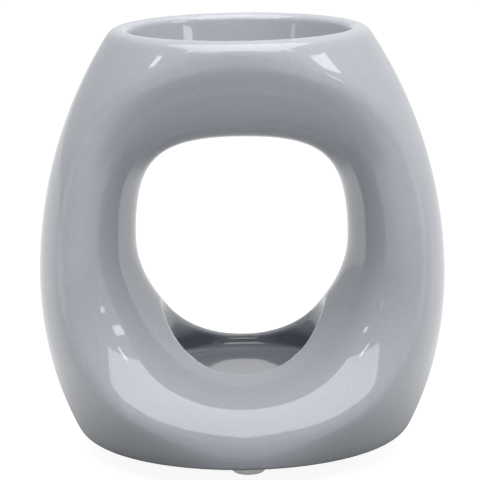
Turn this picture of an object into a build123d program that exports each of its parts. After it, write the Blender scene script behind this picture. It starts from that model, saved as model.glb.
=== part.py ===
"""Essential oil burner: a hollow, slip-cast and glazed ceramic body with an oil dish, a flared window
right through it and a tealight well, standing on clear stick-on feet.

Millimetres, +Z up. The origin is on the ground under the middle of the body, and the window runs along Y.
"""

import math
import os

from build123d import *

os.makedirs("parts", exist_ok=True)

# Feet: clear domes, each bonded to the base by its own adhesive film
FOOT_DIAMETER = 8.8
FOOT_HEIGHT = 4.2
FOOT_EDGE_ROUNDING = 1.2
FOOT_CIRCLE_RADIUS = 26.0
FRONT_FOOT_ANGLE = 2.0
FOOT_PLACES = ("front", "rear_right", "rear_left")
FILM_THICKNESS = 0.2
FILM_MARGIN = 0.5

# Outer wall: two arcs that meet upright at the belly
BELLY_RADIUS = 53.0
BELLY_HEIGHT = 45.8
BASE_RADIUS = 42.5
BASE_ROUNDING = 5.0
CASTING_WALL = 4.5

# Rim
RIM_HEIGHT = 111.4
RIM_RADIUS = 32.9
RIM_WALL = 4.1
RIM_INNER_ROUNDING = 2.0
RIM_FLAT = 0.3

# Oil dish
DISH_DEPTH = 21.0
DISH_TAPER = 3.8
DISH_ROUNDING = 13.0
DISH_FLOOR_WALL = 7.6

# Tealight well in the floor of the window
WELL_RADIUS = 21.0
WELL_DEPTH = 7.0
WELL_RISE = 16.6
WELL_FLOOR_ROUNDING = 2.5
WELL_LIP_ROUNDING = 0.9

# Window: narrowest at the middle, and flared towards the front and the back
WINDOW_WIDTH = 55.2
WINDOW_WAIST_HEIGHT = 56.0
WINDOW_TOP_FULLNESS = 0.79
WINDOW_BOTTOM_FULLNESS = 0.5
SIDE_FLARE_RADIUS = 26.0
BOTTOM_FLARE_RADIUS = 75.0
RIDGE_ROUNDING = 5.5
RIDGE_TO_RIM = 5.65

# Drain hole of the casting, in the middle of the base
DRAIN_DIAMETER = 7.0

base_height = FOOT_HEIGHT + FILM_THICKNESS
well_floor_height = base_height + WELL_RISE
window_bottom = well_floor_height + WELL_DEPTH
dish_mouth_radius = RIM_RADIUS - RIM_WALL
dish_floor_radius = dish_mouth_radius - DISH_TAPER
dish_floor_height = RIM_HEIGHT - DISH_DEPTH
window_top = dish_floor_height - DISH_FLOOR_WALL

# The outer wall's upper arc, and how far it leans in at the rim
rim_inset = BELLY_RADIUS - RIM_RADIUS
upper_wall_radius = (rim_inset**2 + (RIM_HEIGHT - BELLY_HEIGHT) ** 2) / (2 * rim_inset)
wall_lean = math.asin((RIM_HEIGHT - BELLY_HEIGHT) / upper_wall_radius)

# The rim's outer rounding, which leaves a narrow flat beside the inner one
dish_lean = math.atan(DISH_TAPER / DISH_DEPTH)
inner_rounding_width = RIM_INNER_ROUNDING * math.tan((math.pi / 2 - dish_lean) / 2)
outer_rounding_width = RIM_WALL - RIM_FLAT - inner_rounding_width
rim_outer_rounding = outer_rounding_width / math.tan((math.pi / 2 - wall_lean) / 2)

# The flare of the window's top, which meets the outer wall at a set distance under the rim
ridge_height = RIM_HEIGHT - RIDGE_TO_RIM
ridge_inset = upper_wall_radius - math.sqrt(upper_wall_radius**2 - (ridge_height - BELLY_HEIGHT) ** 2)
top_flare_radius = (BELLY_RADIUS - ridge_inset) ** 2 / (2 * (ridge_height - window_top))


def flare(depth, radius, wall):
    """How far one side of the window stands out at a depth, with a wall of that thickness behind it."""
    return depth**2 / (2 * radius) + wall * math.hypot(1, depth / radius)


def quarter_outline(half_width, height, fullness):
    """A quarter of the window's outline, from its side to its top or bottom."""
    end_height = WINDOW_WAIST_HEIGHT + height
    Bezier(
        (half_width, WINDOW_WAIST_HEIGHT),
        (half_width, WINDOW_WAIST_HEIGHT + fullness * height),
        (fullness * half_width, end_height),
        (0, end_height),
    )


def window_space(wall):
    """The space of the window, past the belly at the front and back, and wider all round by the wall."""
    reach = BELLY_RADIUS + CASTING_WALL
    with BuildPart() as space:
        for depth in (-reach, 0, reach):
            half_width = WINDOW_WIDTH / 2 + flare(depth, SIDE_FLARE_RADIUS, wall)
            rise = window_top - WINDOW_WAIST_HEIGHT + flare(depth, top_flare_radius, wall)
            drop = WINDOW_WAIST_HEIGHT - window_bottom + flare(depth, BOTTOM_FLARE_RADIUS, wall)
            with BuildSketch(Plane.XZ.offset(depth)):
                with BuildLine():
                    for side in (half_width, -half_width):
                        quarter_outline(side, rise, WINDOW_TOP_FULLNESS)
                        quarter_outline(side, -drop, WINDOW_BOTTOM_FULLNESS)
                make_face()
        loft()
    return space.part


def offset_form(form, amount):
    """A form grown by an amount, or shrunk by a negative one, with its edges kept sharp."""
    with BuildPart() as changed:
        add(form)
        offset(amount=amount, kind=Kind.INTERSECTION, mode=Mode.REPLACE)
    return changed.part


# Outer form of the body, closed
with BuildPart() as outer:
    with BuildSketch(Plane.XZ):
        with BuildLine():
            base = Line((0, base_height), (BASE_RADIUS, base_height))
            belly = (BELLY_RADIUS, BELLY_HEIGHT)
            TangentArc(belly, base @ 1, tangent=(0, -1))
            upper_wall = TangentArc(belly, (RIM_RADIUS, RIM_HEIGHT), tangent=(0, 1))
            Polyline(upper_wall @ 1, (0, RIM_HEIGHT), base @ 0)
        make_face()
    revolve(axis=Axis.Z)
    fillet(outer.faces().sort_by(Axis.Z)[0].edges(), radius=BASE_ROUNDING)

# Space of the oil dish
with BuildPart() as dish:
    with BuildSketch(Plane.XZ):
        with BuildLine():
            Polyline(
                (0, RIM_HEIGHT),
                (dish_mouth_radius, RIM_HEIGHT),
                (dish_floor_radius, dish_floor_height),
                (0, dish_floor_height),
                close=True,
            )
        make_face()
    revolve(axis=Axis.Z)
    fillet(dish.faces().sort_by(Axis.Z)[0].edges(), radius=DISH_ROUNDING)

# Space of the tealight well, open to the window above
with BuildPart() as well:
    with BuildSketch(Plane.XY.offset(well_floor_height)):
        Circle(WELL_RADIUS)
    extrude(amount=WINDOW_WAIST_HEIGHT - well_floor_height)
    fillet(well.faces().sort_by(Axis.Z)[0].edges(), radius=WELL_FLOOR_ROUNDING)

# Hollow of the casting: what the walls round the window, dish and well leave inside the outer form
shrunk_outer = offset_form(outer.part, -CASTING_WALL)
walled_window = window_space(CASTING_WALL)
walled_dish = offset_form(dish.part, CASTING_WALL)
walled_well = offset_form(well.part, CASTING_WALL)
with BuildPart() as hollow:
    add(shrunk_outer)
    add(walled_window, mode=Mode.SUBTRACT)
    add(walled_dish, mode=Mode.SUBTRACT)
    add(walled_well, mode=Mode.SUBTRACT)

# Ceramic body
window = window_space(0)
with BuildPart() as ceramic_body:
    add(outer.part)
    add(window, mode=Mode.SUBTRACT)
    add(well.part, mode=Mode.SUBTRACT)
    fillet(ceramic_body.edges(Select.LAST).filter_by(GeomType.BSPLINE), radius=WELL_LIP_ROUNDING)
    window_face = ceramic_body.faces().filter_by(GeomType.BSPLINE).sort_by(SortBy.AREA)[-1]
    ridges = window_face.edges().filter_by(lambda edge: abs(edge.center().Y) > BELLY_RADIUS / 4)
    fillet(ridges, radius=RIDGE_ROUNDING)
    add(dish.part, mode=Mode.SUBTRACT)
    rim_edges = ceramic_body.faces().sort_by(Axis.Z)[-1].edges().sort_by(SortBy.RADIUS)
    fillet(rim_edges[0], radius=RIM_INNER_ROUNDING)
    rim_edges = ceramic_body.faces().sort_by(Axis.Z)[-1].edges().sort_by(SortBy.RADIUS)
    fillet(rim_edges[-1], radius=rim_outer_rounding)
    add(hollow.part, mode=Mode.SUBTRACT)
    with BuildSketch(Plane.XY.offset(base_height)):
        Circle(DRAIN_DIAMETER / 2)
    extrude(amount=CASTING_WALL, mode=Mode.SUBTRACT)
ceramic_body.part.label = "ceramic_body"
export_step(ceramic_body.part, "parts/ceramic_body.step")

# Feet and their adhesive films
for i, place in enumerate(FOOT_PLACES):
    turn = math.radians(FRONT_FOOT_ANGLE + i * 360 / len(FOOT_PLACES))
    spot = Plane((FOOT_CIRCLE_RADIUS * math.sin(turn), -FOOT_CIRCLE_RADIUS * math.cos(turn)))
    with BuildPart() as foot:
        with BuildSketch(spot):
            Circle(FOOT_DIAMETER / 2)
        extrude(amount=FOOT_HEIGHT)
        fillet(foot.faces().sort_by(Axis.Z)[0].edges(), radius=FOOT_EDGE_ROUNDING)
    foot.part.label = f"{place}_foot"
    export_step(foot.part, f"parts/{place}_foot.step")
    with BuildPart() as film:
        with BuildSketch(spot.offset(FOOT_HEIGHT)):
            Circle(FOOT_DIAMETER / 2 - FILM_MARGIN)
        extrude(amount=FILM_THICKNESS)
    film.part.label = f"{place}_foot_adhesive"
    export_step(film.part, f"parts/{place}_foot_adhesive.step")
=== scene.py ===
import math

import bmesh
import bpy
import numpy as np
from bpy.props import FloatProperty, FloatVectorProperty, IntProperty, PointerProperty
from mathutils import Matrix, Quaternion, Vector
from mathutils.kdtree import KDTree


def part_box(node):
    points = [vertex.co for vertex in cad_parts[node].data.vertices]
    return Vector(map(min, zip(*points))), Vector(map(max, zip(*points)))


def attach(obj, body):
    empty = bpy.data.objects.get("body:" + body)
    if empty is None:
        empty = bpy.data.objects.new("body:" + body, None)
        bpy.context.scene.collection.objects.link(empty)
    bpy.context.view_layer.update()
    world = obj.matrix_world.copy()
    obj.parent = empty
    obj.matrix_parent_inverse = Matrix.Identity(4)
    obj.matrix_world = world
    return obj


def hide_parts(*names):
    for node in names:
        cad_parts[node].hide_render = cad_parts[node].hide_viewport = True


bl_info = {
    "name": "Essential oil burner",
    "version": (1, 0, 0),
    "blender": (4, 5, 0),
    "location": "View3D > Sidebar > Oil burner",
    "description": "Glazed ceramic oil burner with an oil dish, a flared window and clear stick-on feet",
    "category": "Object",
}

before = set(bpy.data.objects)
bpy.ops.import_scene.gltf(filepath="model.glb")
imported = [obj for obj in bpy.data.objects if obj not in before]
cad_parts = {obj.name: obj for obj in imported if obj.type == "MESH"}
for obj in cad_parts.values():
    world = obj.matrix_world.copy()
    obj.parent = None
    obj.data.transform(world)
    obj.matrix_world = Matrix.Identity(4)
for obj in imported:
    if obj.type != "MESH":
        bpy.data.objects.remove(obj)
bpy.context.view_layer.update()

MM = 0.001
BODY_NODE = "ceramic_body"
FOOT_PLACES = ("front", "rear_right", "rear_left")
BASE_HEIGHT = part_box(BODY_NODE)[0][2]
MERGE_DISTANCE = 0.001 * MM
CURVE_ATTRIBUTE = "edge_curve"

# Where the body's sharp edges are: their least bend per millimetre, heights and radii
SHARP_BEND = 0.05
RIDGE_OVER_BASE = 5 * MM
RIDGE_UNDER_RIM = 4 * MM
RIDGE_RADIUS = 30 * MM
LIP_OVER_BASE = 12 * MM
LIP_TOP_HEIGHT = 50 * MM
LIP_RADIUS = 25 * MM
LIP_REACH = 4 * MM

# How the rolls change over the body: ranges of height, of distance sideways and of facing outwards
BASE_RELEASE = (1 * MM, 7 * MM)
RIM_RELEASE = (1.5 * MM, 6 * MM)
ROLL_THINNING = (24 * MM, 60 * MM)
THINNED_SHARE = 0.88
SIDE_RANGE = (0, 34 * MM)
SIDE_HOLD = 0.4
WALL_FACING = (0.75, 0.97)

# The glaze: bends where it thins and pools, the well's wall where shade is painted, and the sizes of its
# detail
THIN_BEND = (0.08, 0.3)
POOL_BEND = (0.03, 0.3)
HOLLOW_SHARE = 0.6
BEND_WANDER = 0.05
WELL_SHADE_RADIUS = 21.8 * MM
WELL_SHADE_FADE = 0.8 * MM
WELL_FOOT_RANGE = (21.2 * MM, 23 * MM)
WELL_LIP_HEIGHT = 29 * MM
WELL_LIP_FADE = 4 * MM
CLOUD_SIZE = 22 * MM
GRAIN_SIZE = 0.7 * MM
SPECK_SPACING = 9 * MM
ORANGE_PEEL_SIZE = 4.5 * MM
FLOW_SIZE = 19 * MM
RELIEF_HEIGHT = 0.045 * MM
GLAZE_IOR = 1.54

# The bare clay: its edge round the base, the drain hole that it lines, and its grain
BARE_EDGE_HEIGHT = 0.12 * MM
BARE_EDGE_FADE = 0.08 * MM
BARE_EDGE_WANDER = 0.16 * MM
BARE_EDGE_PATCH = 5 * MM
DRAIN_LINING_RADIUS = 4.2 * MM
DRAIN_LINING_DEPTH = 9 * MM
CLAY_GRAIN_SIZE = 0.45 * MM
DARK_CLAY_SHARE = 0.72

# The feet and films: edges, and the sizes and colours of haze, dust and bubbles
FOOT_TOP_BREAK = 0.15 * MM
FOOT_DOME_STEPS = 14
HAZE_SIZE = 2.5 * MM
DUST_SIZE = 0.25 * MM
DUST_COLOUR = (0.6, 0.6, 0.58)
FOOT_IOR = 1.48
FOOT_RIPPLE = 0.03 * MM
BUBBLE_SPACING = 0.9 * MM
BUBBLE_COLOUR = (0.95, 0.96, 0.96)
FILM_IOR = 1.47
FILM_EDGE_SHARE = 0.25

# The floor, its white as the camera sees it, and the distances over which its glow sets in
FLOOR_HALF_SIZE = 6.0
FLOOR_DROP = 0.05 * MM
FLOOR_WHITE = 0.92
FLOOR_GLOW_RANGE = (0.08, 0.27)
FLOOR_GLOW_STRETCH = (3, 1, 1)
FRONT_DULLING = 0.4

# Lamps: name, power setting and share of it, size across and along, place, and point aimed at
DISH_LAMP_SHARE = 0.3
RIM_AIM = (0, 0, 0.1)
LAMPS = (
    ("ceiling", "ceiling_power", 1.0, (0.6, 0.6), (0, -0.2, 0.55), (0, -0.2, 0)),
    ("left_bar", "bar_power", 1.0, (0.03, 0.1), (-0.315, -0.25, 0.545), (0, 0, 0.05)),
    ("right_bar", "bar_power", 1.0, (0.03, 0.1), (0.315, -0.25, 0.545), (0, 0, 0.05)),
    ("right_lamp", "right_power", 1.0, (0.2, 0.09), (0.536, -0.15, 0.47), RIM_AIM),
    ("left_lamp", "left_power", 1.0, (0.06, 0.05), (-0.536, -0.13, 0.5), RIM_AIM),
    ("right_dish_lamp", "right_power", DISH_LAMP_SHARE, (0.12, 0.05), (0.536, -0.32, 0.284), RIM_AIM),
    ("left_dish_lamp", "left_power", DISH_LAMP_SHARE, (0.05, 0.05), (-0.536, -0.27, 0.275), RIM_AIM),
)
SENSOR_WIDTH = 36


class Signal:
    """A shader node's output. Python's operators on it add the Math nodes."""

    def __init__(self, graph, socket):
        self.graph = graph
        self.socket = socket

    def other(self, key):
        """Another output of the same node."""
        return Signal(self.graph, self.socket.node.outputs[key])

    def maths(self, operation, first, second):
        return self.graph.node("ShaderNodeMath", {"operation": operation}, {0: first, 1: second})

    def __add__(self, other):
        return self.maths("ADD", self, other)

    def __radd__(self, other):
        return self.maths("ADD", other, self)

    def __sub__(self, other):
        return self.maths("SUBTRACT", self, other)

    def __rsub__(self, other):
        return self.maths("SUBTRACT", other, self)

    def __mul__(self, other):
        return self.maths("MULTIPLY", self, other)

    def __rmul__(self, other):
        return self.maths("MULTIPLY", other, self)

    def __pow__(self, other):
        return self.maths("POWER", self, other)

    def __gt__(self, other):
        return self.maths("GREATER_THAN", self, other)

    def __lt__(self, other):
        return self.maths("LESS_THAN", self, other)


class Graph:
    """The node tree of a material or of the world."""

    def __init__(self, tree):
        self.tree = tree
        tree.nodes.clear()

    def node(self, kind, settings=None, inputs=None, output=0):
        """Adds a node, sets it, fills its sockets with values or links and returns one of its outputs."""
        node = self.tree.nodes.new(kind)
        for name, value in (settings or {}).items():
            setattr(node, name, value)
        for key, value in (inputs or {}).items():
            if isinstance(value, Signal):
                self.tree.links.new(value.socket, node.inputs[key])
            else:
                node.inputs[key].default_value = value
        return Signal(self, node.outputs[output]) if node.outputs else None

    def smooth_step(self, value, low, high):
        """0 below low, 1 above high and an easy curve between them."""
        return self.node(
            "ShaderNodeMapRange",
            {"interpolation_type": "SMOOTHSTEP"},
            {"Value": value, "From Min": low, "From Max": high},
        )

    def larger(self, first, second):
        return self.node("ShaderNodeMath", {"operation": "MAXIMUM"}, {0: first, 1: second})

    def mix_colour(self, factor, first, second):
        return self.node("ShaderNodeMix", {"data_type": "RGBA"}, {0: factor, 6: first, 7: second}, output=2)

    def object_point(self):
        return self.node("ShaderNodeTexCoord", output=3)

    def noise(self, point, size, detail=2.0, roughness=0.5):
        """Noise whose features are about as large as the given size in metres."""
        return self.node(
            "ShaderNodeTexNoise",
            inputs={"Vector": point, "Scale": 1 / size, "Detail": detail, "Roughness": roughness},
        )

    def finish_material(self, shader):
        self.node("ShaderNodeOutputMaterial", inputs={"Surface": shader})


def new_material(name):
    material = bpy.data.materials.new(name)
    material.use_nodes = True
    return material, Graph(material.node_tree)


def rgba(colour):
    return (*colour, 1.0)


class CeramicSettings(bpy.types.PropertyGroup):
    """How finely the fired body is skinned, how far its edges are rounded, and its drain hole."""

    skin_step: FloatProperty(
        name="Skin step",
        description="Distance between the points of the glazed skin",
        default=0.82 * MM,
        unit="LENGTH",
        precision=5,
    )
    skin_softening: IntProperty(
        name="Skin softening",
        description="Passes that let the glaze flow over edges",
        default=10,
    )
    roll_passes: IntProperty(
        name="Roll passes",
        description="Passes that round the ridges of the window into fat rolls",
        default=2100,
    )
    wall_hold: FloatProperty(
        name="Wall hold",
        description="Share by which the outer wall keeps its place beside the rolls, in the middle",
        default=0.5,
    )
    lip_passes: IntProperty(
        name="Lip passes",
        description="Passes that ease the lip of the well",
        default=16,
    )
    roll_reach: FloatProperty(
        name="Roll reach",
        description="How far beside a ridge its rounding goes",
        default=22.0 * MM,
        unit="LENGTH",
        precision=5,
    )
    drain_diameter: FloatProperty(
        name="Drain hole",
        description="Diameter of the casting's drain hole in the base",
        default=7.0 * MM,
        unit="LENGTH",
        precision=5,
    )
    drain_depth: FloatProperty(
        name="Drain depth",
        description="Depth of the drain hole that can be seen",
        default=8.0 * MM,
        unit="LENGTH",
        precision=5,
    )


class GlazeSettings(bpy.types.PropertyGroup):
    """Colours and finish of the glaze and of the bare fired clay."""

    glaze: FloatVectorProperty(
        name="Glaze",
        description="Blue-grey of an even coat of glaze",
        default=(0.355, 0.374, 0.41),
        subtype="COLOR",
    )
    thin_glaze: FloatVectorProperty(
        name="Thin glaze",
        description="Paler tone where the glaze runs thin on lips and ridges",
        default=(0.52, 0.54, 0.572),
        subtype="COLOR",
    )
    # Deep tone of glaze pooled in hollows, also painted on the well's wall as shade
    pooled_glaze_and_shade: FloatVectorProperty(
        name="Pooled glaze",
        description="Deeper tone where the glaze gathers in hollows",
        default=(0.125, 0.138, 0.165),
        subtype="COLOR",
    )
    speck: FloatVectorProperty(
        name="Speck",
        description="Iron specks that the firing draws out of the clay",
        default=(0.12, 0.11, 0.1),
        subtype="COLOR",
    )
    biscuit: FloatVectorProperty(
        name="Biscuit",
        description="Bare fired clay under the base",
        default=(0.66, 0.6, 0.52),
        subtype="COLOR",
    )
    gloss_roughness: FloatProperty(name="Gloss roughness", description="Roughness of the glaze", default=0.06)
    biscuit_roughness: FloatProperty(
        name="Biscuit roughness", description="Roughness of bare fired clay", default=0.8
    )


class FootSettings(bpy.types.PropertyGroup):
    """Shape and colour of the clear stick-on feet and their adhesive films."""

    side_land: FloatProperty(
        name="Side land",
        description="Upright part of a foot's side, under its bonded face",
        default=3.0 * MM,
        unit="LENGTH",
        precision=5,
    )
    contact_share: FloatProperty(
        name="Contact share",
        description="Radius of the flat that stands on the table, as a share of the foot's radius",
        default=0.727,
    )
    foot_colour: FloatVectorProperty(
        name="Foot colour",
        description="Clear soft polyurethane",
        default=(0.97, 0.98, 0.98),
        subtype="COLOR",
    )
    film_colour: FloatVectorProperty(
        name="Film colour",
        description="Clear acrylic adhesive",
        default=(0.82, 0.84, 0.84),
        subtype="COLOR",
    )
    film_gap: FloatProperty(
        name="Film gap",
        description="Hair of room over and under an adhesive film",
        default=0.01 * MM,
        unit="LENGTH",
        precision=6,
    )
    segments: IntProperty(name="Segments", description="Steps round a foot", default=72)


class StageSettings(bpy.types.PropertyGroup):
    """Light tent, floor and camera."""

    floor_colour: FloatVectorProperty(
        name="Floor", description="Pale floor", default=(0.22, 0.22, 0.22), subtype="COLOR"
    )
    floor_glow: FloatProperty(
        name="Floor glow",
        description="Light that the floor away from the burner sends back",
        default=0.84,
    )
    tent_glow: FloatProperty(
        name="Tent glow", description="Light that the tent's white walls scatter", default=0.49
    )
    front_glow: FloatProperty(
        name="Front glow",
        description="Light that comes in through the tent's open front",
        default=0.18,
    )
    back_glow: FloatProperty(
        name="Back glow",
        description="Light that the tent's back wall sends on",
        default=0.3,
    )
    side_dimming: FloatProperty(
        name="Side dimming",
        description="Share by which the tent's side walls scatter less",
        default=0.5,
    )
    right_lean: FloatProperty(
        name="Right lean",
        description="Share by which the tent's right wall is brighter, and its left wall dimmer",
        default=0.4,
    )
    wall_shine: FloatProperty(
        name="Wall shine",
        description="Brightness of the tent's walls in the glaze's reflections",
        default=1.0,
    )
    ceiling_power: FloatProperty(
        name="Ceiling lamp", description="Power of the soft ceiling lamp", default=3.8, unit="POWER"
    )
    bar_power: FloatProperty(
        name="Bar lamps",
        description="Power of each bar lamp beside the ceiling lamp",
        default=0.07,
        unit="POWER",
    )
    right_power: FloatProperty(
        name="Right lamp", description="Power of the lamp on the right shoulder", default=0.3, unit="POWER"
    )
    left_power: FloatProperty(
        name="Left lamp", description="Power of the lamp on the left shoulder", default=0.06, unit="POWER"
    )
    focal_length: FloatProperty(
        name="Focal length", description="Lens on a 36 mm wide sensor, in millimetres", default=194.6
    )
    camera_place: FloatVectorProperty(
        name="Camera place",
        description="Where the lens stands",
        default=(0.0, -0.665, 0.19),
        subtype="TRANSLATION",
        unit="LENGTH",
    )
    camera_aim: FloatVectorProperty(
        name="Camera aim",
        description="Point in the middle of the picture",
        default=(-0.0005, 0.0, 0.0551),
        subtype="TRANSLATION",
        unit="LENGTH",
    )
    camera_roll: FloatProperty(
        name="Camera roll",
        description="Turn of the camera about its line of sight",
        default=math.radians(-0.85),
        subtype="ANGLE",
    )


def object_from(name, shape, material):
    """A scene object of a bmesh's shape, with smooth faces and one material."""
    mesh = bpy.data.meshes.new(name)
    shape.to_mesh(mesh)
    shape.free()
    mesh.materials.append(material)
    mesh.shade_smooth()
    piece = bpy.data.objects.new(name, mesh)
    bpy.context.collection.objects.link(piece)
    return piece


def bake_modifier(piece, kind, settings):
    """Gives a piece the mesh that a modifier makes of its own."""
    modifier = piece.modifiers.new(kind.lower(), kind)
    for name, value in settings.items():
        setattr(modifier, name, value)
    changed = piece.evaluated_get(bpy.context.evaluated_depsgraph_get())
    mesh = bpy.data.meshes.new_from_object(changed)
    piece.modifiers.clear()
    piece.data = mesh


def dress(piece, node):
    """Makes a piece stand for a node of the frame: parents it to the root and hides the node's own mesh."""
    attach(piece, "root")
    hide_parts(node)


def outer_casting(settings):
    """The casting's outside, merged from the frame's triangles, with its drain hole closed at a depth."""
    shape = bmesh.new()
    shape.from_mesh(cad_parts[BODY_NODE].data)
    bmesh.ops.remove_doubles(shape, verts=shape.verts, dist=MERGE_DISTANCE)
    reach = settings.drain_diameter / 2 + 0.1 * MM
    drain_wall = [
        face
        for face in shape.faces
        if all(vert.co.xy.length < reach for vert in face.verts) and abs(face.normal.z) < 0.5
    ]
    bmesh.ops.delete(shape, geom=drain_wall, context="FACES_ONLY")

    found = {max(shape.verts, key=lambda vert: vert.co.z)}
    front = list(found)
    while front:
        vert = front.pop()
        for face in vert.link_faces:
            for other in face.verts:
                if other not in found:
                    found.add(other)
                    front.append(other)
    hidden = [vert for vert in shape.verts if vert not in found]
    bmesh.ops.delete(shape, geom=hidden, context="VERTS")

    mouth = [edge for edge in shape.edges if edge.is_boundary]
    if not mouth:
        raise RuntimeError("The casting's drain hole was not found")
    raised = bmesh.ops.extrude_edge_only(shape, edges=mouth)["geom"]
    end_verts = [part for part in raised if isinstance(part, bmesh.types.BMVert)]
    end_edges = [part for part in raised if isinstance(part, bmesh.types.BMEdge) and part.is_boundary]
    bmesh.ops.translate(shape, verts=end_verts, vec=(0, 0, settings.drain_depth))
    bmesh.ops.contextual_create(shape, geom=end_edges)
    bmesh.ops.recalc_face_normals(shape, faces=shape.faces)
    return shape


def points_of(mesh):
    """A mesh's points as rows of x, y and z."""
    places = np.empty(len(mesh.vertices) * 3)
    mesh.vertices.foreach_get("co", places)
    return places.reshape(-1, 3)


def normals_of(mesh):
    """A mesh's normals at its points, as rows of x, y and z."""
    normals = np.empty(len(mesh.vertices) * 3)
    mesh.vertex_normals.foreach_get("vector", normals)
    return normals.reshape(-1, 3)


def edge_curve(mesh, passes):
    """How sharply the surface bends at each point, per millimetre: above 0 on lips, below in hollows."""
    count = len(mesh.vertices)
    places = points_of(mesh)
    normals = normals_of(mesh)
    pairs = np.empty(len(mesh.edges) * 2, dtype=np.int32)
    mesh.edges.foreach_get("vertices", pairs)
    first, second = pairs.reshape(-1, 2).T
    degree = np.bincount(first, minlength=count) + np.bincount(second, minlength=count)

    def neighbours_mean(at_first, at_second):
        total = np.bincount(first, weights=at_second, minlength=count)
        return (total + np.bincount(second, weights=at_first, minlength=count)) / degree

    span = places[second] - places[first]
    length = np.einsum("ij,ij->i", span, span)
    bend_first = -2 * np.einsum("ij,ij->i", span, normals[first]) / length
    bend_second = 2 * np.einsum("ij,ij->i", span, normals[second]) / length
    curve = neighbours_mean(bend_second, bend_first)
    for _ in range(passes):
        curve = 0.5 * curve + 0.5 * neighbours_mean(curve[first], curve[second])
    return curve * MM


def eased(value, low, high):
    """0 below low, 1 above high and an easy curve between them."""
    share = np.clip((value - low) / (high - low), 0, 1)
    return share * share * (3 - 2 * share)


def nearness(places, chosen, reach):
    """1 at the chosen points, falling to 0 at a distance from them."""
    tree = KDTree(int(chosen.sum()))
    for i, place in enumerate(places[chosen]):
        tree.insert(place, i)
    tree.balance()
    return 1 - eased(np.array([tree.find(place)[2] for place in places]), 0, reach)


def let_flow(body, weights, passes):
    """Smooths a body's surface, each point by its own weight."""
    weights = np.round(weights, 2)
    group = body.vertex_groups.new(name="flow")
    for weight in np.unique(weights):
        group.add(np.flatnonzero(weights == weight).tolist(), float(weight), "REPLACE")
    bake_modifier(body, "SMOOTH", {"factor": 0.5, "iterations": passes, "vertex_group": group.name})
    body.vertex_groups.clear()


def soften_edges(body, settings):
    """Rounds the window's ridges, most low down, and eases the lip of the well."""
    places = points_of(body.data)
    sharp = edge_curve(body.data, passes=6) > SHARP_BEND
    height = places[:, 2]
    over_base = height - BASE_HEIGHT
    under_rim = height.max() - height
    out = np.hypot(places[:, 0], places[:, 1])
    ridge = sharp & (over_base > RIDGE_OVER_BASE) & (under_rim > RIDGE_UNDER_RIM) & (out > RIDGE_RADIUS)
    released = eased(over_base, *BASE_RELEASE) * eased(under_rim, *RIM_RELEASE)
    fatness = 1 - THINNED_SHARE * eased(height, *ROLL_THINNING)
    outwards = np.einsum("ij,ij->i", normals_of(body.data)[:, :2], places[:, :2]) / out
    hold = settings.wall_hold + SIDE_HOLD * eased(np.abs(places[:, 0]), *SIDE_RANGE)
    beside_wall = 1 - hold * eased(outwards, *WALL_FACING)
    lip = sharp & (height < LIP_TOP_HEIGHT) & (out < LIP_RADIUS) & (over_base > LIP_OVER_BASE)
    lip_weights = nearness(places, lip, LIP_REACH)
    roll_weights = nearness(places, ridge, settings.roll_reach) * released * fatness * beside_wall
    let_flow(body, roll_weights, settings.roll_passes)
    let_flow(body, lip_weights, settings.lip_passes)


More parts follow.
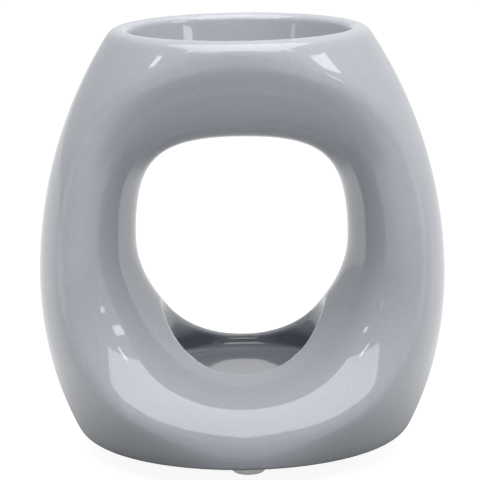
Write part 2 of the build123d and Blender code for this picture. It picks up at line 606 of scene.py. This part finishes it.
def glaze_material(settings):
    """Glossy blue-grey glaze, paler on edges and deeper in hollows, with painted shade on the well's wall,
    over bare clay under the base.
    """
    material, graph = new_material("glazed_ceramic")
    point = graph.object_point()
    place = graph.node("ShaderNodeSeparateXYZ", inputs={"Vector": point})
    across, along, height = (place.other(i) for i in range(3))
    radius = (across * across + along * along) ** 0.5

    curve = graph.node("ShaderNodeAttribute", {"attribute_name": CURVE_ATTRIBUTE}, output=2)
    cloud = graph.noise(point, CLOUD_SIZE, detail=3.0)
    grain = graph.noise(point, GRAIN_SIZE, detail=2.0)
    bend_wander = BEND_WANDER * (cloud - 0.5)
    thin = graph.smooth_step(curve + bend_wander, *THIN_BEND)
    # Painted shade: the well's wall is darkened with the pooled tone
    inside = graph.smooth_step(WELL_SHADE_RADIUS - radius, 0.0, WELL_SHADE_FADE)
    over_foot = graph.smooth_step(height, *WELL_FOOT_RANGE)
    under_lip = graph.smooth_step(WELL_LIP_HEIGHT - height, 0.0, WELL_LIP_FADE)
    well_shade = inside * (over_foot * under_lip)
    hollow = HOLLOW_SHARE * graph.smooth_step(-1 * curve + bend_wander, *POOL_BEND)
    pooled_and_shaded = graph.larger(hollow, well_shade)
    colour = graph.mix_colour(thin, rgba(settings.glaze), rgba(settings.thin_glaze))
    # Mixes in the pooled tone: glaze pooled in hollows, and painted shade on the well's wall
    colour = graph.mix_colour(pooled_and_shaded, colour, rgba(settings.pooled_glaze_and_shade))
    shade = 0.87 + 0.1 * cloud + 0.16 * grain
    colour = graph.node(
        "ShaderNodeMix",
        {"data_type": "RGBA", "blend_type": "MULTIPLY"},
        {0: 1.0, 6: colour, 7: graph.node("ShaderNodeCombineColor", inputs={0: shade, 1: shade, 2: shade})},
        output=2,
    )

    cell = graph.node("ShaderNodeTexVoronoi", inputs={"Vector": point, "Scale": 1 / SPECK_SPACING})
    chosen = graph.node("ShaderNodeSeparateColor", inputs={"Color": cell.other("Color")})
    speck = graph.smooth_step(0.035 - cell, 0.0, 0.012) * (chosen > 0.8) * 0.7
    colour = graph.mix_colour(speck, colour, rgba(settings.speck))

    wander = BARE_EDGE_WANDER * (graph.noise(point, BARE_EDGE_PATCH) - 0.5)
    under = graph.smooth_step(BASE_HEIGHT + BARE_EDGE_HEIGHT - height + wander, 0.0, BARE_EDGE_FADE)
    in_drain = (radius < DRAIN_LINING_RADIUS) * (height < BASE_HEIGHT + DRAIN_LINING_DEPTH)
    bare = graph.larger(under, in_drain)
    clay_grain = graph.noise(point, CLAY_GRAIN_SIZE, detail=4.0, roughness=0.7)
    clay = graph.mix_colour(
        graph.smooth_step(clay_grain, 0.35, 0.75),
        rgba(settings.biscuit),
        rgba([DARK_CLAY_SHARE * part for part in settings.biscuit]),
    )
    colour = graph.mix_colour(bare, colour, clay)

    gloss = settings.gloss_roughness + 0.03 * (grain - 0.5) + 0.02 * (cloud - 0.5)
    roughness = gloss + bare * (settings.biscuit_roughness - settings.gloss_roughness)
    orange_peel = graph.noise(point, ORANGE_PEEL_SIZE, detail=1.0)
    flow = graph.noise(point, FLOW_SIZE, detail=1.0)
    relief = (0.35 * orange_peel + flow) * (1 - bare) + clay_grain * bare
    bump = graph.node(
        "ShaderNodeBump", inputs={"Strength": 1.0, "Distance": RELIEF_HEIGHT, "Height": relief}
    )
    graph.finish_material(
        graph.node(
            "ShaderNodeBsdfPrincipled",
            inputs={
                "Base Color": colour,
                "Roughness": roughness,
                "IOR": GLAZE_IOR,
                "Normal": bump,
            },
        )
    )
    return material


class BURNER_OT_fire_body(bpy.types.Operator):
    """Skin the casting evenly, let its edges flow and glaze it"""

    bl_idname = "burner.fire_body"
    bl_label = "Fire ceramic body"

    def execute(self, context):
        ceramic = context.scene.burner_ceramic
        glaze = glaze_material(context.scene.burner_glaze)
        body = object_from("glazed_body", outer_casting(ceramic), glaze)
        bake_modifier(body, "REMESH", {"mode": "VOXEL", "voxel_size": ceramic.skin_step})
        bake_modifier(body, "SMOOTH", {"factor": 0.5, "iterations": ceramic.skin_softening})
        soften_edges(body, ceramic)
        body.data.materials.clear()
        body.data.materials.append(glaze)
        body.data.shade_smooth()
        curve = edge_curve(body.data, passes=4)
        body.data.attributes.new(CURVE_ATTRIBUTE, "FLOAT", "POINT").data.foreach_set("value", curve)
        dress(body, BODY_NODE)
        return {"FINISHED"}


def clear_foot_material(settings):
    """Clear soft polyurethane with a faint haze."""
    material, graph = new_material("clear_polyurethane")
    point = graph.object_point()
    haze = graph.noise(point, HAZE_SIZE, detail=2.0)
    dust = graph.smooth_step(graph.noise(point, DUST_SIZE, detail=1.0), 0.66, 0.74)
    colour = graph.mix_colour(dust * 0.35, rgba(settings.foot_colour), rgba(DUST_COLOUR))
    roughness = 0.08 + 0.08 * haze + 0.15 * dust
    ripple = graph.node(
        "ShaderNodeBump", inputs={"Strength": 0.6, "Distance": FOOT_RIPPLE, "Height": haze}
    )
    graph.finish_material(
        graph.node(
            "ShaderNodeBsdfPrincipled",
            inputs={
                "Base Color": colour,
                "Roughness": roughness,
                "IOR": FOOT_IOR,
                "Transmission Weight": 0.25,
                "Alpha": 0.5 + 0.12 * haze,
                "Normal": ripple,
            },
        )
    )
    return material


def round_place(node):
    """A round node's radius and height, and the middle of its underside."""
    low, high = (Vector(corner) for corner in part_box(node))
    middle = (low + high) / 2
    return (high.x - low.x) / 2, high.z - low.z, Vector((middle.x, middle.y, low.z))


def foot_profile(shape, radius, height, settings):
    """The half outline of a foot, from its bonded face down its side to the flat that it stands on."""
    contact = radius * settings.contact_share
    dome_height = height - settings.side_land
    outline = [(0.0, height), (radius - FOOT_TOP_BREAK, height), (radius, height - FOOT_TOP_BREAK)]
    for i in range(FOOT_DOME_STEPS + 1):
        turn = math.pi / 2 * i / FOOT_DOME_STEPS
        outline.append(
            (contact + (radius - contact) * math.cos(turn), dome_height * (1 - math.sin(turn)))
        )
    outline.append((0.0, 0.0))
    verts = [shape.verts.new((x, 0, z)) for x, z in outline]
    return [shape.edges.new(pair) for pair in zip(verts, verts[1:])]


class BURNER_OT_mould_feet(bpy.types.Operator):
    """Spin the clear stick-on feet"""

    bl_idname = "burner.mould_feet"
    bl_label = "Mould clear feet"

    def execute(self, context):
        settings = context.scene.burner_feet
        material = clear_foot_material(settings)
        for place in FOOT_PLACES:
            node = f"{place}_foot"
            radius, height, spot = round_place(node)
            shape = bmesh.new()
            edges = foot_profile(shape, radius, height, settings)
            bmesh.ops.spin(
                shape,
                geom=list(shape.verts) + edges,
                cent=(0, 0, 0),
                axis=(0, 0, 1),
                angle=2 * math.pi,
                steps=settings.segments,
                use_merge=True,
            )
            bmesh.ops.remove_doubles(shape, verts=shape.verts, dist=MERGE_DISTANCE)
            bmesh.ops.recalc_face_normals(shape, faces=shape.faces)
            bmesh.ops.translate(shape, verts=shape.verts, vec=spot)
            dress(object_from(f"{place}_bumper", shape, material), node)
        return {"FINISHED"}


def adhesive_material(settings):
    """Clear acrylic film with tiny trapped bubbles."""
    material, graph = new_material("acrylic_adhesive")
    point = graph.object_point()
    cell = graph.node("ShaderNodeTexVoronoi", inputs={"Vector": point, "Scale": 1 / BUBBLE_SPACING})
    bubble = graph.smooth_step(0.22 - cell, 0.0, 0.05)
    colour = graph.mix_colour(bubble, rgba(settings.film_colour), rgba(BUBBLE_COLOUR))
    graph.finish_material(
        graph.node(
            "ShaderNodeBsdfPrincipled",
            inputs={
                "Base Color": colour,
                "Roughness": 0.25 + 0.3 * bubble,
                "IOR": FILM_IOR,
                "Transmission Weight": 0.85,
            },
        )
    )
    return material


class BURNER_OT_lay_films(bpy.types.Operator):
    """Lay the adhesive film that bonds each foot to the base"""

    bl_idname = "burner.lay_films"
    bl_label = "Lay adhesive films"

    def execute(self, context):
        settings = context.scene.burner_feet
        material = adhesive_material(settings)
        for place in FOOT_PLACES:
            node = f"{place}_foot_adhesive"
            radius, height, spot = round_place(node)
            thickness = height - 2 * settings.film_gap
            shape = bmesh.new()
            bmesh.ops.create_circle(shape, cap_ends=True, radius=radius, segments=settings.segments)
            raised = bmesh.ops.extrude_face_region(shape, geom=list(shape.faces))["geom"]
            top = [part for part in raised if isinstance(part, bmesh.types.BMVert)]
            bmesh.ops.translate(shape, verts=top, vec=(0, 0, thickness))
            bmesh.ops.recalc_face_normals(shape, faces=shape.faces)
            rims = []
            for edge in shape.edges:
                first, second = edge.verts
                if abs(first.co.z - second.co.z) < MERGE_DISTANCE:
                    rims.append(edge)
            bmesh.ops.bevel(
                shape,
                geom=rims,
                offset=FILM_EDGE_SHARE * thickness,
                offset_type="OFFSET",
                affect="EDGES",
                segments=2,
                profile=0.5,
                material=-1,
            )
            bmesh.ops.translate(shape, verts=shape.verts, vec=(spot.x, spot.y, spot.z + settings.film_gap))
            dress(object_from(f"{place}_film", shape, material), node)
        return {"FINISHED"}


def seen_directly(graph):
    """Two signals: 1 for rays from the camera or through clear pieces, and 1 for rays off a gloss."""
    path = graph.node("ShaderNodeLightPath")
    clear = path.other("Is Camera Ray") + path.other("Is Transmission Ray")
    clear = graph.node("ShaderNodeMath", {"operation": "MINIMUM"}, {0: clear, 1: 1.0})
    return clear, path.other("Is Glossy Ray") * (1 - clear)


def floor_material(settings):
    """Pale floor that looks white where it is lit, keeps a faint shadow and sends light back from afar."""
    material, graph = new_material("pale_floor")
    diffuse = graph.node("ShaderNodeBsdfDiffuse", inputs={"Color": rgba(settings.floor_colour)})
    clear, _ = seen_directly(graph)
    stretched = {0: graph.object_point(), 1: FLOOR_GLOW_STRETCH}
    spread = graph.node("ShaderNodeVectorMath", {"operation": "MULTIPLY"}, stretched)
    reach = graph.node("ShaderNodeVectorMath", {"operation": "LENGTH"}, {0: spread}, output=1)
    afar = graph.smooth_step(reach, *FLOOR_GLOW_RANGE) * (1 - clear)
    strength = FLOOR_WHITE * clear + settings.floor_glow * afar
    glow = graph.node("ShaderNodeEmission", inputs={"Strength": strength})
    graph.finish_material(graph.node("ShaderNodeAddShader", inputs={0: diffuse, 1: glow}))
    return material


def tent_world(settings):
    """White walls all round, brighter on the right, with more light from the tent's open front."""
    world = bpy.data.worlds.new("light_tent")
    world.use_nodes = True
    graph = Graph(world.node_tree)
    clear, gloss = seen_directly(graph)
    direction = graph.node("ShaderNodeTexCoord")
    parts = graph.node("ShaderNodeSeparateXYZ", inputs={"Vector": direction})
    right, back = (parts.other(i) for i in range(2))
    front = graph.smooth_step(-1 * back, 0.0, 1.0)
    from_front = settings.front_glow * front * (1 + right)
    from_back = settings.back_glow * graph.smooth_step(back, 0.0, 1.0)
    sideways = 1 - settings.side_dimming * right * right
    scattered = (settings.tent_glow + from_front + from_back) * sideways * (1 - gloss)
    shine = settings.wall_shine * (1 - FRONT_DULLING * front) * gloss
    strength = clear + (scattered + shine) * (1 + settings.right_lean * right) * (1 - clear)
    background = graph.node("ShaderNodeBackground", inputs={"Strength": strength})
    graph.node("ShaderNodeOutputWorld", inputs={"Surface": background})
    return world


def add_lamp(name, power, size, place, aim):
    """A soft rectangular lamp, its size given across and along."""
    lamp = bpy.data.lights.new(name, "AREA")
    lamp.shape = "RECTANGLE"
    lamp.size, lamp.size_y = size
    lamp.energy = power
    stand = bpy.data.objects.new(name, lamp)
    stand.location = place
    stand.rotation_euler = (Vector(aim) - Vector(place)).to_track_quat("-Z", "Y").to_euler()
    bpy.context.collection.objects.link(stand)


class BURNER_OT_set_stage(bpy.types.Operator):
    """Set up the floor, the light tent and the camera"""

    bl_idname = "burner.set_stage"
    bl_label = "Set stage"

    def execute(self, context):
        settings = context.scene.burner_stage
        shape = bmesh.new()
        bmesh.ops.create_grid(shape, x_segments=1, y_segments=1, size=FLOOR_HALF_SIZE)
        bmesh.ops.translate(shape, verts=shape.verts, vec=(0, 0, -FLOOR_DROP))
        object_from("floor", shape, floor_material(settings))

        context.scene.world = tent_world(settings)
        for name, power, share, size, place, aim in LAMPS:
            add_lamp(name, share * getattr(settings, power), size, place, aim)

        lens = bpy.data.cameras.new("camera")
        lens.sensor_width = SENSOR_WIDTH
        lens.lens = settings.focal_length
        camera = bpy.data.objects.new("camera", lens)
        camera.location = settings.camera_place
        sight = Vector(settings.camera_aim) - Vector(settings.camera_place)
        roll = Quaternion((0, 0, 1), settings.camera_roll)
        camera.rotation_euler = (sight.to_track_quat("-Z", "Y") @ roll).to_euler()
        context.collection.objects.link(camera)
        context.scene.camera = camera
        context.scene.view_settings.view_transform = "Standard"
        return {"FINISHED"}


class BURNER_PT_parts(bpy.types.Panel):
    """Lists the burner's pieces and their settings"""

    bl_idname = "BURNER_PT_parts"
    bl_label = "Oil burner"
    bl_space_type = "VIEW_3D"
    bl_region_type = "UI"
    bl_category = "Oil burner"

    def draw(self, context):
        for operator in OPERATORS:
            self.layout.operator(operator.bl_idname)
        for group_name, group in SETTINGS.items():
            box = self.layout.box()
            for name in group.__annotations__:
                box.prop(getattr(context.scene, group_name), name)


SETTINGS = {
    "burner_ceramic": CeramicSettings,
    "burner_glaze": GlazeSettings,
    "burner_feet": FootSettings,
    "burner_stage": StageSettings,
}
OPERATORS = (BURNER_OT_fire_body, BURNER_OT_mould_feet, BURNER_OT_lay_films, BURNER_OT_set_stage)


def register():
    for group_name, group in SETTINGS.items():
        bpy.utils.register_class(group)
        setattr(bpy.types.Scene, group_name, PointerProperty(type=group))
    for kind in (*OPERATORS, BURNER_PT_parts):
        bpy.utils.register_class(kind)


def unregister():
    for kind in (BURNER_PT_parts, *reversed(OPERATORS)):
        bpy.utils.unregister_class(kind)
    for group_name, group in reversed(SETTINGS.items()):
        delattr(bpy.types.Scene, group_name)
        bpy.utils.unregister_class(group)


def main():
    register()
    bpy.ops.burner.fire_body()
    bpy.ops.burner.mould_feet()
    bpy.ops.burner.lay_films()
    bpy.ops.burner.set_stage()


if __name__ == "__main__":
    main()
